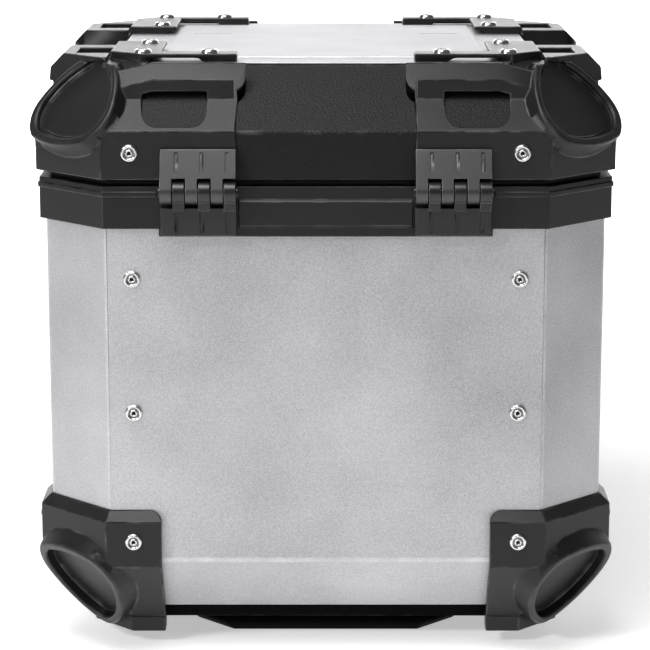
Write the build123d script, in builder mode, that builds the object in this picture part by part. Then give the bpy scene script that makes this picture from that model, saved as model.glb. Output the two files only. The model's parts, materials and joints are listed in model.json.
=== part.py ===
from build123d import *
import os
from math import acos, atan2, cos, radians, sin, sqrt

# Aluminium top case for a motorcycle, in millimetres.
# Z = 0 is the underside of the mounting adapter, X runs across the case, and -Y is the hinge side.

# ---- driving dimensions -------------------------------------------------------------
BODY_HALF_W = 187.5
BODY_HALF_D = 175.0
CORNER_LEG = 43.5
SHEET = 1.5
FLOOR_Z = 26.5
BEVEL_Z = 68.5
BEVEL_INSET = 32.0
WRAP_HALF_W = 143.6
SEAM = 0.3
FLANGE_W = 28.0
RIM_Z = 318.0

COLLAR_PROUD = 4.0
COLLAR_LOW_Z = 295.5
COLLAR_HINGE_LOW_Z = 290.5
COLLAR_TOP_Z = 323.5

LID_LOW_Z = 328.0
LID_FOLD_Z = 359.0
LID_TOP_Z = 399.0
LID_TOP_HALF_W = 142.0
LID_TOP_HALF_D = 140.0
LID_TOP_LEG = 20.0
LID_WALL = 2.5
PANEL = 1.5

OVERLAY = 2.0
FLANGE_TOP_Z = 406.0
ARM_END_X = 58.6
ARM_END_Y = 54.0
FLANGE_IN_X = 109.6
FLANGE_IN_Y = 123.0

HINGE_X = (-107.4, 58.2)
HINGE_AXIS_Y = -188.5
HINGE_AXIS_Z = 321.2
KNUCKLE_R = 7.4
KNUCKLE_PITCH = 8.3
KNUCKLE_GAP = 0.5
KNUCKLES = 6
HINGE_PIN_R = 2.5
RUNNING = 0.05

LATCH_X = 82.5
LATCH_AXIS_Y = 189.0
LATCH_AXIS_Z = 350.0
LOCK_Z = 307.5

RIVET_HEAD_R = 6.0
RIVET_SHANK_R = 2.4

ROOT2 = sqrt(2.0)
LEG_GROWTH = 2.0 - ROOT2

os.makedirs("parts", exist_ok=True)


def save(piece, name):
    piece.part.label = name
    export_step(piece.part, f"parts/{name}.step")


def octagon_points(half_w, half_d, leg):
    return [
        (half_w - leg, -half_d), (half_w, leg - half_d), (half_w, half_d - leg), (half_w - leg, half_d),
        (leg - half_w, half_d), (-half_w, half_d - leg), (-half_w, leg - half_d), (leg - half_w, -half_d),
    ]


def octagon_block(size, low, high, grow=0.0):
    """A straight block on an octagon; grow moves every side outwards by that much."""
    half_w, half_d, leg = size
    with BuildPart() as block:
        with BuildSketch(Plane.XY.offset(low)):
            with BuildLine():
                Polyline(*octagon_points(half_w + grow, half_d + grow, leg + grow * LEG_GROWTH), close=True)
            make_face()
        extrude(amount=high - low)
    return block.part


def slope_planes(size_a, z_a, size_b, z_b, grow=0.0):
    """The eight planes that join octagon a to the smaller octagon b, moved outwards by grow."""
    rise = z_b - z_a
    side = 1.0 if rise > 0 else -1.0
    reach_a = (size_a[0] + size_a[1] - size_a[2]) / ROOT2
    reach_b = (size_b[0] + size_b[1] - size_b[2]) / ROOT2
    kinds = [((1, 0), size_a[0], size_b[0]), ((0, 1), size_a[1], size_b[1]), ((-1, 0), size_a[0], size_b[0]),
             ((0, -1), size_a[1], size_b[1])]
    for sx in (-1, 1):
        for sy in (-1, 1):
            kinds.append(((sx / ROOT2, sy / ROOT2), reach_a, reach_b))
    planes = []
    for (dx, dy), far, near in kinds:
        normal = Vector(dx * abs(rise), dy * abs(rise), side * (far - near)).normalized()
        origin = Vector(dx * far, dy * far, z_a) + normal * grow
        planes.append(Plane(origin=origin, z_dir=normal))
    return planes


def trimmed(block, planes):
    """The block with everything outside the planes cut away."""
    with BuildPart() as piece:
        add(block)
        for plane in planes:
            split(bisect_by=plane, keep=Keep.BOTTOM)
    return piece.part


BODY_SIZE = (BODY_HALF_W, BODY_HALF_D, CORNER_LEG)
FLOOR_REACH = BODY_HALF_W + BODY_HALF_D - CORNER_LEG - BEVEL_INSET * ROOT2
FLOOR_SIZE = (
    BODY_HALF_W - BEVEL_INSET,
    BODY_HALF_D - BEVEL_INSET,
    BODY_HALF_W + BODY_HALF_D - 2 * BEVEL_INSET - FLOOR_REACH,
)
LID_SIZE = (BODY_HALF_W + COLLAR_PROUD, BODY_HALF_D + COLLAR_PROUD, CORNER_LEG + COLLAR_PROUD * LEG_GROWTH)
LID_TOP_SIZE = (LID_TOP_HALF_W, LID_TOP_HALF_D, LID_TOP_LEG)


def tub_form(grow, low, high):
    """The tub's outside, bevelled towards the floor, grown by so much."""
    planes = slope_planes(BODY_SIZE, BEVEL_Z, FLOOR_SIZE, FLOOR_Z, grow)
    return trimmed(octagon_block(BODY_SIZE, low, high, grow), planes)


def lid_form(grow, low, high):
    """The lid's outside: an upright band and a slope up to the top, grown by so much."""
    planes = slope_planes(LID_SIZE, LID_FOLD_Z, LID_TOP_SIZE, LID_TOP_Z, grow)
    return trimmed(octagon_block(LID_SIZE, low, high, grow), planes)


def box_between(low, high):
    size = [high[i] - low[i] for i in range(3)]
    middle = [(high[i] + low[i]) / 2 for i in range(3)]
    return Pos(*middle) * Box(*size, mode=Mode.PRIVATE)


def corner_name(sx, sy):
    return ("front" if sy < 0 else "rear") + ("_left" if sx < 0 else "_right")


def side_name(x):
    return "left" if x < 0 else "right"


CORNERS = [(sx, sy) for sy in (-1, 1) for sx in (-1, 1)]


def placed_at_corner(piece, sx, sy):
    """A piece drawn at the -X -Y corner, mirrored to the corner asked for."""
    if sx > 0:
        piece = mirror(piece, about=Plane.YZ, mode=Mode.PRIVATE)
    if sy > 0:
        piece = mirror(piece, about=Plane.XZ, mode=Mode.PRIVATE)
    return piece


# ---- tub: one wrap sheet and two cheeks ---------------------------------------------
tub_outside = tub_form(0.0, FLOOR_Z, RIM_Z)
tub_lining = tub_form(-SHEET, FLOOR_Z + SHEET, RIM_Z)
tub_inside = tub_form(-2 * SHEET, FLOOR_Z + 2 * SHEET, RIM_Z)

CASE_RIVETS = [(x, z) for x in (-127.5, 127.5) for z in (171.0, 261.5)]
ADAPTER_SCREWS = [(x, y) for x in (-72.0, 72.0) for y in (-62.0, 62.0)]
SCREW_HOLE_R = 3.2
HINGE_SCREW_R = 2.0
HINGE_SCREW_DX = (13.0, 37.0)
HINGE_SCREW_LOW_Z = 301.0
HINGE_SCREW_HIGH_Z = 339.5
STAY_X = 165.0
DEEP = 400.0
HOLE_LONG = 40.0

hole_y = Rot(90, 0, 0)
case_rivet_holes = [Pos(x, 0, z) * hole_y * Cylinder(RIVET_SHANK_R, DEEP) for x, z in CASE_RIVETS]
hinge_holes_low = [
    Pos(x + dx, -BODY_HALF_D, HINGE_SCREW_LOW_Z) * hole_y * Cylinder(HINGE_SCREW_R + RUNNING, HOLE_LONG)
    for x in HINGE_X for dx in HINGE_SCREW_DX
]
floor_holes = [Pos(x, y, FLOOR_Z) * Cylinder(SCREW_HOLE_R, HOLE_LONG) for x, y in ADAPTER_SCREWS]

# Low rivets hold the corner guards on the front and on the cheeks.
GUARD_PROUD = 7.5
GUARD_RIVET_X = 128.5
GUARD_RIVET_Y = 116.0
GUARD_RIVET_Z = 84.0
guard_holes_y = [
    Pos(x, 0, GUARD_RIVET_Z) * hole_y * Cylinder(RIVET_SHANK_R, DEEP) for x in (-GUARD_RIVET_X, GUARD_RIVET_X)
]
hole_x = Rot(0, 90, 0)
guard_holes_x = [
    Pos(0, y, GUARD_RIVET_Z) * hole_x * Cylinder(RIVET_SHANK_R, DEEP) for y in (-GUARD_RIVET_Y, GUARD_RIVET_Y)
]

with BuildPart() as body_wrap:
    add(tub_outside)
    add(tub_lining, mode=Mode.SUBTRACT)
    add(box_between((-WRAP_HALF_W, -DEEP, 0), (WRAP_HALF_W, DEEP, DEEP)), mode=Mode.INTERSECT)
    add(case_rivet_holes, mode=Mode.SUBTRACT)
    add(hinge_holes_low, mode=Mode.SUBTRACT)
    add(floor_holes, mode=Mode.SUBTRACT)
    add(guard_holes_y, mode=Mode.SUBTRACT)
save(body_wrap, "body_wrap")

FLANGE_JOIN = 8.0
cheek_zone = box_between((WRAP_HALF_W + SEAM, -DEEP, 0), (DEEP, DEEP, DEEP))
flange_zone = box_between((WRAP_HALF_W - FLANGE_W, -DEEP, 0), (WRAP_HALF_W + FLANGE_JOIN, DEEP, DEEP))
cheek_flange = (tub_lining - tub_inside) & flange_zone

for side in (-1, 1):
    with BuildPart() as cheek:
        add(tub_outside)
        add(tub_lining, mode=Mode.SUBTRACT)
        add(cheek_zone, mode=Mode.INTERSECT)
        add(cheek_flange)
        if side < 0:
            mirror(about=Plane.YZ, mode=Mode.REPLACE)
        add(case_rivet_holes, mode=Mode.SUBTRACT)
        add(guard_holes_y, mode=Mode.SUBTRACT)
        add(guard_holes_x, mode=Mode.SUBTRACT)
    save(cheek, f"side_cheek_{side_name(side)}")

# ---- collar on the rim --------------------------------------------------------------
COLLAR_IN = 8.0
COLLAR_LIP_Z = 300.0
SEAL_RIB_IN = 3.5
SEAL_RIB_W = 2.0
SEAL_RIB_H = 2.5
HINGE_ZONE_X = 109.0

collar_outer = octagon_block(BODY_SIZE, COLLAR_LOW_Z, COLLAR_TOP_Z, COLLAR_PROUD)
collar_drop = octagon_block(BODY_SIZE, COLLAR_HINGE_LOW_Z, COLLAR_TOP_Z, COLLAR_PROUD) & box_between(
    (-HINGE_ZONE_X, -DEEP, 0), (HINGE_ZONE_X, DEEP, DEEP)
)
collar_channel = octagon_block(BODY_SIZE, 0, RIM_Z, 0.0)
collar_inner = octagon_block(BODY_SIZE, COLLAR_LIP_Z, COLLAR_TOP_Z, -2 * SHEET)
collar_mouth = octagon_block(BODY_SIZE, 0, DEEP, -COLLAR_IN)
rib_outer = octagon_block(BODY_SIZE, COLLAR_TOP_Z, COLLAR_TOP_Z + SEAL_RIB_H, -SEAL_RIB_IN)
rib_inner = octagon_block(BODY_SIZE, COLLAR_TOP_Z, COLLAR_TOP_Z + SEAL_RIB_H, -SEAL_RIB_IN - SEAL_RIB_W)

BEAD_OUT = 1.0
BEAD_GAP = 1.0
BEAD_Z = (316.8, 320.0)
PANEL_HALF_W = 56.5
PANEL_OUT = 2.4
PANEL_Z = (296.5, 315.2)
PANEL_CHAMFER = 1.6
bead_ring = octagon_block(BODY_SIZE, *BEAD_Z, COLLAR_PROUD + BEAD_OUT)
bead_left = bead_ring & box_between((-DEEP, -DEEP, 0), (-HINGE_ZONE_X - BEAD_GAP, DEEP, DEEP))
bead_right = bead_ring & box_between((HINGE_ZONE_X + BEAD_GAP, -DEEP, 0), (DEEP, DEEP, DEEP))
COLLAR_OUT_Y = BODY_HALF_D + COLLAR_PROUD

with BuildPart() as collar_panels:
    add(box_between((-PANEL_HALF_W, -COLLAR_OUT_Y - PANEL_OUT, PANEL_Z[0]),
                    (PANEL_HALF_W, COLLAR_OUT_Y + PANEL_OUT, PANEL_Z[1])))
    chamfer(collar_panels.edges().filter_by(Axis.X), length=PANEL_CHAMFER)

with BuildPart() as collar:
    add(collar_outer)
    add(collar_drop)
    add(bead_left)
    add(bead_right)
    add(collar_panels.part)
    add(collar_channel, mode=Mode.SUBTRACT)
    add(collar_inner)
    add(rib_outer)
    add(rib_inner, mode=Mode.SUBTRACT)
    add(collar_mouth, mode=Mode.SUBTRACT)
    add(hinge_holes_low, mode=Mode.SUBTRACT)
save(collar, "case_collar")

# ---- lower corner guards ------------------------------------------------------------
GUARD_TOP_Z = 104.0
GUARD_LIP = 6.5
GUARD_END_X = 110.0
GUARD_END_Y = 97.5
GUARD_CORNER_R = 8.5
FOOT_Z = 9.5
FOOT_TOP_Z = 20.5
FOOT_DEPTH = 14.0
FOOT_OUT = 5.0
CORNER_MIDDLE = (BODY_HALF_W - BODY_HALF_D) / ROOT2
BODY_REACH = (2 * BODY_HALF_W + 2 * BODY_HALF_D - 2 * CORNER_LEG) / 2 / ROOT2
LID_REACH = BODY_REACH + COLLAR_PROUD

# A bumper's face is a rounded triangle. Its points are half-widths and heights above its long side.
BUMPER_HEIGHT = 74.0
BUMPER_FOOT = (26.0, 4.2)
BUMPER_HIP = (35.5, 15.0)
BUMPER_WIDEST = (37.3, 31.0)
BUMPER_SIDE = (25.5, 55.6)
BUMPER_SHOULDER = (9.0, 71.0)
BUMPER_RING = 6.0
BUMPER_DEPTH = 34.0


def bumper_outline(inset):
    """The face's outline, drawn smaller by inset, as six three-point arcs."""
    scale_w = (BUMPER_WIDEST[0] - inset) / BUMPER_WIDEST[0]
    scale_h = (BUMPER_HEIGHT - 2 * inset) / BUMPER_HEIGHT

    def at(side, point):
        return (side * point[0] * scale_w, inset + point[1] * scale_h)

    with BuildSketch(Plane.XY) as outline:
        with BuildLine():
            ThreePointArc(at(-1, BUMPER_FOOT), at(0, (0, 0)), at(1, BUMPER_FOOT))
            for side in (-1, 1):
                ThreePointArc(at(side, BUMPER_FOOT), at(side, BUMPER_HIP), at(side, BUMPER_WIDEST))
                ThreePointArc(at(side, BUMPER_WIDEST), at(side, BUMPER_SIDE), at(side, BUMPER_SHOULDER))
            ThreePointArc(at(-1, BUMPER_SHOULDER), at(0, (0, BUMPER_HEIGHT)), at(1, BUMPER_SHOULDER))
        make_face()
    return outline.sketch


def bumper(reach, base_z, lean, up, recess_depth, flare):
    """A solid bumper at the -X -Y corner, its recess and its face plane, which leans by so many degrees."""
    tilt = radians(lean)
    normal = Vector(-cos(tilt) / ROOT2, -cos(tilt) / ROOT2, up * sin(tilt))
    origin = Vector(-(reach + CORNER_MIDDLE) / ROOT2, -(reach - CORNER_MIDDLE) / ROOT2, base_z)
    face_plane = Plane(origin=origin, x_dir=(up / ROOT2, -up / ROOT2, 0), z_dir=normal)
    back_plane = face_plane.offset(-BUMPER_DEPTH)
    body = loft([face_plane * bumper_outline(0), back_plane * bumper_outline(-flare)], ruled=True)
    recess = face_plane * extrude(bumper_outline(BUMPER_RING), amount=-recess_depth)
    return body, recess, face_plane


guard_zone = extrude(
    make_face(
        Polyline(
            (-GUARD_END_X, -DEEP), (-GUARD_END_X, -GUARD_END_Y), (-DEEP, -GUARD_END_Y), (-DEEP, -DEEP), close=True
        )
    ),
    amount=DEEP,
)
guard_outer = tub_form(GUARD_PROUD, FOOT_Z, GUARD_TOP_Z)
guard_side_view = RectangleRounded(2 * (DEEP - GUARD_END_X), 2 * GUARD_TOP_Z, GUARD_CORNER_R)
guard_round_x = Plane(origin=(-DEEP, DEEP, 0), x_dir=(1, 0, 0), z_dir=(0, -1, 0)) * extrude(
    guard_side_view, amount=2 * DEEP
)
guard_end_view = RectangleRounded(2 * (DEEP - GUARD_END_Y), 2 * GUARD_TOP_Z, GUARD_CORNER_R)
guard_round_y = Plane(origin=(DEEP, -DEEP, 0), x_dir=(0, 1, 0), z_dir=(1, 0, 0)) * extrude(
    guard_end_view, amount=-2 * DEEP
)
foot_rim = octagon_block(FLOOR_SIZE, FOOT_Z, FOOT_TOP_Z, FOOT_OUT)
foot_inner = octagon_block(FLOOR_SIZE, 0, FLOOR_Z, FOOT_OUT - FOOT_DEPTH)
tub_solid = tub_form(0.0, FLOOR_Z, DEEP)
LOWER_BUMPER_OUT = 17.0
LOWER_BUMPER_Z = 75.0
LOWER_BUMPER_LEAN = 31.0
LOWER_RECESS = 6.5
LOWER_FLARE = 9.0
lower_body, lower_recess, _ = bumper(
    BODY_REACH + LOWER_BUMPER_OUT, LOWER_BUMPER_Z, LOWER_BUMPER_LEAN, -1, LOWER_RECESS, LOWER_FLARE
)

with BuildPart() as guard:
    add(guard_outer)
    top_edges = guard.faces().sort_by(Axis.Z)[-1].edges()
    chamfer(top_edges, length=GUARD_LIP)
    add(foot_rim)
    add(guard_zone, mode=Mode.INTERSECT)
    add(guard_round_x, mode=Mode.INTERSECT)
    add(guard_round_y, mode=Mode.INTERSECT)
    add(lower_body)
    add(tub_solid, mode=Mode.SUBTRACT)
    add(foot_inner, mode=Mode.SUBTRACT)
    add(lower_recess, mode=Mode.SUBTRACT)
    add(guard_holes_y, mode=Mode.SUBTRACT)
    add(guard_holes_x, mode=Mode.SUBTRACT)

for sx, sy in CORNERS:
    with BuildPart() as guard_copy:
        add(placed_at_corner(guard.part, sx, sy))
    save(guard_copy, f"lower_corner_{corner_name(sx, sy)}")

# ---- base plate and mounting adapter ------------------------------------------------
BASE_Z = 16.0
BASE_CORNER_R = 6.0
ADAPTER_HALF_W = 104.0
ADAPTER_HALF_D = 130.0
ADAPTER_LEG = 26.0
ADAPTER_TAPER = 14.0
ADAPTER_WALL = 4.0
CARRIER_DX = 100.0
CARRIER_DY = 110.0
CARRIER_HOLE_R = 3.25
ADAPTER_WELL = (124.0, 44.0)
ADAPTER_WELL_R = 8.0
ADAPTER_SCREW_START_Z = 4.0
ADAPTER_FLOOR = 2.0

base_block = octagon_block(FLOOR_SIZE, BASE_Z, FLOOR_Z, FOOT_OUT - FOOT_DEPTH)
with BuildPart() as base_plate:
    add(base_block)
    fillet(base_plate.edges().filter_by(Axis.Z), radius=BASE_CORNER_R)
    add(floor_holes, mode=Mode.SUBTRACT)
save(base_plate, "base_plate")

ADAPTER_SIZE = (ADAPTER_HALF_W, ADAPTER_HALF_D, ADAPTER_LEG)
ADAPTER_LOW_SIZE = (ADAPTER_HALF_W - ADAPTER_TAPER, ADAPTER_HALF_D - ADAPTER_TAPER, ADAPTER_LEG)
adapter_block = octagon_block(ADAPTER_SIZE, 0, BASE_Z)
adapter_body = trimmed(adapter_block, slope_planes(ADAPTER_SIZE, BASE_Z, ADAPTER_LOW_SIZE, 0.0))
with BuildPart() as adapter:
    add(adapter_body)
    with BuildSketch(Plane.XY.offset(ADAPTER_WALL)):
        with GridLocations(0, CARRIER_DY, 1, 2):
            RectangleRounded(*ADAPTER_WELL, ADAPTER_WELL_R)
    extrude(amount=BASE_Z, mode=Mode.SUBTRACT)
    with Locations(Plane.XY.offset(BASE_Z)):
        with GridLocations(CARRIER_DX, CARRIER_DY, 2, 2):
            Hole(radius=CARRIER_HOLE_R)
    with Locations(*[(x, y, BASE_Z) for x, y in ADAPTER_SCREWS]):
        Hole(radius=SCREW_HOLE_R, depth=BASE_Z - ADAPTER_FLOOR)
save(adapter, "mounting_adapter")

SCREW_R = 3.0
SCREW_HEAD_R = 5.5
SCREW_HEAD_H = 3.3
SOCKET_R = 2.0
SOCKET_DEPTH = 2.0
WASHER_R = 9.0
WASHER_H = 1.6
floor_top = FLOOR_Z + SHEET
with BuildPart() as adapter_screws:
    with Locations(*[(x, y, ADAPTER_SCREW_START_Z) for x, y in ADAPTER_SCREWS]):
        Cylinder(SCREW_R, floor_top - ADAPTER_SCREW_START_Z, align=(Align.CENTER, Align.CENTER, Align.MIN))
    with Locations(*[(x, y, floor_top) for x, y in ADAPTER_SCREWS]):
        Cylinder(WASHER_R, WASHER_H, align=(Align.CENTER, Align.CENTER, Align.MIN))
    with Locations(*[(x, y, floor_top + WASHER_H) for x, y in ADAPTER_SCREWS]):
        Cylinder(SCREW_HEAD_R, SCREW_HEAD_H, align=(Align.CENTER, Align.CENTER, Align.MIN))
    with Locations(*[(x, y, floor_top + WASHER_H + SCREW_HEAD_H) for x, y in ADAPTER_SCREWS]):
        Hole(radius=SOCKET_R, depth=SOCKET_DEPTH)
save(adapter_screws, "adapter_screws")

# ---- lid frame, panel and seal ------------------------------------------------------
RIM_IN = 26.0
SEAL_CHANNEL_IN = 1.5
SEAL_W = 9.0
SEAL_CLEAR = 0.3
SEAL_LOW_Z = COLLAR_TOP_Z + SEAL_RIB_H + SEAL_CLEAR
SEAL_TOP_Z = 333.0

lid_outside = lid_form(0.0, LID_LOW_Z, LID_TOP_Z)
lid_hollow = lid_form(-LID_WALL, 0, LID_TOP_Z - LID_WALL)
lid_opening = octagon_block(LID_TOP_SIZE, 0, DEEP, -RIM_IN)
lid_rivet_posts = [(x, y) for x in (-121.0, -77.0, 77.0, 121.0) for y in (-131.0, 131.0)]
lid_rivet_posts += [(x, y) for x in (-120.5, 120.5) for y in (-67.0, 67.0)]
lid_top_holes = [Pos(x, y, LID_TOP_Z) * Cylinder(RIVET_SHANK_R, HOLE_LONG) for x, y in lid_rivet_posts]
BAND_RIVET_Z = 345.7
BAND_RIVET_X = 127.5
BAND_RIVET_Y = 115.0
band_holes = [
    Pos(x, 0, BAND_RIVET_Z) * hole_y * Cylinder(RIVET_SHANK_R, DEEP) for x in (-BAND_RIVET_X, BAND_RIVET_X)
]
band_holes += [
    Pos(0, y, BAND_RIVET_Z) * hole_x * Cylinder(RIVET_SHANK_R, DEEP) for y in (-BAND_RIVET_Y, BAND_RIVET_Y)
]
hinge_holes_high = [
    Pos(x + dx, -BODY_HALF_D, HINGE_SCREW_HIGH_Z) * hole_y * Cylinder(HINGE_SCREW_R + RUNNING, HOLE_LONG)
    for x in HINGE_X for dx in HINGE_SCREW_DX
]
seal_outer = octagon_block(BODY_SIZE, SEAL_LOW_Z, SEAL_TOP_Z, -SEAL_CHANNEL_IN)
seal_inner = octagon_block(BODY_SIZE, 0, DEEP, -SEAL_CHANNEL_IN - SEAL_W)
SEAL_WALL = 2.0
SHELF_OUT = 3.0
shelf_outer = octagon_block(BODY_SIZE, LID_LOW_Z, SEAL_TOP_Z + SEAL_WALL, SHELF_OUT)
shelf_inner = octagon_block(BODY_SIZE, 0, DEEP, -SEAL_CHANNEL_IN - SEAL_W - SEAL_WALL)

with BuildPart() as lid_frame:
    add(lid_outside)
    add(lid_hollow, mode=Mode.SUBTRACT)
    add(lid_opening, mode=Mode.SUBTRACT)
    add(shelf_outer - shelf_inner)
    add(seal_outer - seal_inner, mode=Mode.SUBTRACT)
    add(lid_top_holes, mode=Mode.SUBTRACT)
    add(band_holes, mode=Mode.SUBTRACT)
    add(hinge_holes_high, mode=Mode.SUBTRACT)
save(lid_frame, "lid_frame")

with BuildPart() as lid_seal:
    add(seal_outer)
    add(seal_inner, mode=Mode.SUBTRACT)
save(lid_seal, "lid_seal")

PANEL_MARGIN = 27.0
PANEL_STEP = 1.3
PLATEAU_GAP = 3.0
panel_plate = octagon_block(LID_TOP_SIZE, LID_TOP_Z, LID_TOP_Z + PANEL, 0.0)
panel_plateau = box_between(
    (-FLANGE_IN_X + PLATEAU_GAP, -LID_TOP_HALF_D + PANEL_MARGIN, LID_TOP_Z),
    (FLANGE_IN_X - PLATEAU_GAP, LID_TOP_HALF_D - PANEL_MARGIN, LID_TOP_Z + PANEL + PANEL_STEP),
)
GROOVE = (27.0, 2.4)
GROOVE_PLACE = (82.5, 43.0)
GROOVE_DEPTH = 0.5
with BuildPart() as lid_panel:
    add(panel_plate)
    add(panel_plateau)
    with BuildSketch(Plane.XY.offset(LID_TOP_Z + PANEL + PANEL_STEP)):
        with Locations(*[(side * GROOVE_PLACE[0], GROOVE_PLACE[1]) for side in (-1, 1)]):
            SlotOverall(*GROOVE)
    extrude(amount=-GROOVE_DEPTH, mode=Mode.SUBTRACT)
    add(lid_top_holes, mode=Mode.SUBTRACT)
save(lid_panel, "lid_panel")

# ---- lid corners: overlay, flange, two grip bars and a bumper ------------------------
FRONT_Y = LID_SIZE[1] + OVERLAY
SIDE_X = LID_SIZE[0] + OVERLAY
WINDOW_LOW_Z = 362.0
WINDOW_HIGH_Z = 403.3
WINDOW_X = (77.5, 120.0)
WINDOW_Y = (73.0, 108.0)
WINDOW_R = 9.5
FLANGE_OUT = 1.4
LID_BUMPER_OUT = 14.2
LID_BUMPER_Z = 349.5
LID_BUMPER_LEAN = 37.8
LID_RECESS = 3.6

# The front bar stands on the slope's upper part, dips towards the bumper and ends in a round nose.
FRONT_BAR_Y = 162.5
FRONT_BAR_NOSE_X = 52.4
FRONT_BAR_KINK_X = 113.0
FRONT_BAR_END_X = 143.0
FRONT_BAR_DIP = 7.5
FRONT_BAR_Z = (383.5, 391.3, 401.5)
FRONT_BAR_DEPTH = 11.0
FRONT_PILLAR_Z = 373.0
FRONT_PILLAR_TOP_Z = (390.0, 386.0)
FRONT_INFILL_Z = 388.0
FRONT_PILLAR_BACK_Y = 146.0

# The side bar is deeper and stands further out.
SIDE_BAR_X = 185.0
SIDE_BAR_Z = (386.0, 394.0, 403.3)
SIDE_BAR_DEPTH = 17.0
SIDE_BAR_END_Y = 136.0
SIDE_PILLAR_Z = 376.0
SIDE_PILLAR_W = 19.0
SIDE_PILLAR_BACK_X = 145.0
PILLAR_STEP = 3.0
BAR_SLANT = 9.0
BAR_END_R = 8.0

overlay_outer = lid_form(OVERLAY, LID_LOW_Z, LID_TOP_Z + PANEL)
overlay_top = octagon_block(LID_TOP_SIZE, LID_TOP_Z, FLANGE_TOP_Z, FLANGE_OUT)
lid_solid = lid_form(0.0, 0, LID_TOP_Z + PANEL)
overlay_zone = extrude(
    make_face(
        Polyline(
            (-ARM_END_X, -DEEP), (-ARM_END_X, -FLANGE_IN_Y), (-FLANGE_IN_X, -FLANGE_IN_Y), (-FLANGE_IN_X, -ARM_END_Y),
            (-DEEP, -ARM_END_Y), (-DEEP, -DEEP), close=True,
        )
    ),
    amount=DEEP * 2,
)


def bar_section(plane, face, heights, depth, drop=0.0):
    """A bar's section: a flat face with a slant above it; the plane's x axis points outwards and its y axis up."""
    low, middle, top = (height - drop for height in heights)
    with BuildSketch(plane) as section:
        with BuildLine():
            Polyline((face, low), (face, middle), (face - BAR_SLANT, top), (face - depth, top), (face - depth, low),
                     close=True)
        make_face()
    return section.sketch


def plan_block(low, high, radius):
    """A tall block with rounded corners in plan, between two opposite corners."""
    size = (high[0] - low[0], high[1] - low[1])
    middle = ((high[0] + low[0]) / 2, (high[1] + low[1]) / 2, 0)
    return Plane(origin=middle) * extrude(RectangleRounded(*size, radius), amount=2 * DEEP)


def across_x(x):
    """A section plane across the front bar: its x axis points to -Y."""
    return Plane(origin=(x, 0, 0), x_dir=(0, -1, 0), z_dir=(-1, 0, 0))


front_end = plan_block((-DEEP, -FRONT_BAR_Y), (-FRONT_BAR_NOSE_X, DEEP), BAR_END_R)
side_end = plan_block((-SIDE_BAR_X, -DEEP), (DEEP, -ARM_END_Y), BAR_END_R)

with BuildPart() as front_bar:
    level = bar_section(across_x(-FRONT_BAR_NOSE_X), FRONT_BAR_Y, FRONT_BAR_Z, FRONT_BAR_DEPTH)
    extrude(level, amount=FRONT_BAR_KINK_X - FRONT_BAR_NOSE_X)
    kink = bar_section(across_x(-FRONT_BAR_KINK_X), FRONT_BAR_Y, FRONT_BAR_Z, FRONT_BAR_DEPTH)
    dipped = bar_section(across_x(-FRONT_BAR_END_X), FRONT_BAR_Y, FRONT_BAR_Z, FRONT_BAR_DEPTH, FRONT_BAR_DIP)
    loft([kink, dipped], ruled=True)
    add(box_between((-WINDOW_X[0], -FRONT_BAR_Y, FRONT_PILLAR_Z),
                    (-FRONT_BAR_NOSE_X, -FRONT_PILLAR_BACK_Y, FRONT_PILLAR_TOP_Z[0])))
    add(box_between((-FRONT_BAR_END_X, -FRONT_BAR_Y, FRONT_PILLAR_Z),
                    (-WINDOW_X[1], -FRONT_PILLAR_BACK_Y, FRONT_PILLAR_TOP_Z[1])))
    add(box_between((-WINDOW_X[0], -FRONT_BAR_Y + BAR_SLANT, FRONT_INFILL_Z),
                    (-ARM_END_X, -FRONT_PILLAR_BACK_Y, FRONT_BAR_Z[2])))
    add(front_end, mode=Mode.INTERSECT)

side_plane = Plane(origin=(0, -SIDE_BAR_END_Y, 0), x_dir=(-1, 0, 0), z_dir=(0, 1, 0))
with BuildPart() as side_bar:
    side_section = bar_section(side_plane, SIDE_BAR_X, SIDE_BAR_Z, SIDE_BAR_DEPTH)
    extrude(side_section, amount=SIDE_BAR_END_Y - ARM_END_Y)
    for near_y, far_y in ((ARM_END_Y, ARM_END_Y + SIDE_PILLAR_W), (WINDOW_Y[1], SIDE_BAR_END_Y)):
        add(box_between((-SIDE_BAR_X + PILLAR_STEP, -far_y, SIDE_PILLAR_Z),
                        (-SIDE_PILLAR_BACK_X, -near_y, SIDE_BAR_Z[1])))
        add(box_between((-SIDE_BAR_X + BAR_SLANT, -far_y, SIDE_BAR_Z[1]),
                        (-SIDE_PILLAR_BACK_X, -near_y, SIDE_BAR_Z[2])))
    add(side_end, mode=Mode.INTERSECT)

front_window = Plane(origin=(-(WINDOW_X[0] + WINDOW_X[1]) / 2, 0, (WINDOW_LOW_Z + WINDOW_HIGH_Z) / 2),
                     x_dir=(1, 0, 0), z_dir=(0, -1, 0)) * extrude(
    RectangleRounded(WINDOW_X[1] - WINDOW_X[0], WINDOW_HIGH_Z - WINDOW_LOW_Z, WINDOW_R), amount=DEEP)
side_window = Plane(origin=(0, -(WINDOW_Y[0] + WINDOW_Y[1]) / 2, (WINDOW_LOW_Z + WINDOW_HIGH_Z) / 2),
                    x_dir=(0, -1, 0), z_dir=(-1, 0, 0)) * extrude(
    RectangleRounded(WINDOW_Y[1] - WINDOW_Y[0], WINDOW_HIGH_Z - WINDOW_LOW_Z, WINDOW_R), amount=DEEP)
BUMPER_CLIP_Z = 330.0
BUMPER_CLIP = (105.0, 95.0)
bumper_clip = box_between((-DEEP, -DEEP, BUMPER_CLIP_Z), (-BUMPER_CLIP[0], -BUMPER_CLIP[1], DEEP))
upper_body, upper_recess, upper_face = bumper(
    LID_REACH + LID_BUMPER_OUT, LID_BUMPER_Z, LID_BUMPER_LEAN, 1, LID_RECESS, 0.0
)
upper_body = upper_body & bumper_clip
FACE_CLEAR = 0.8
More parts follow.
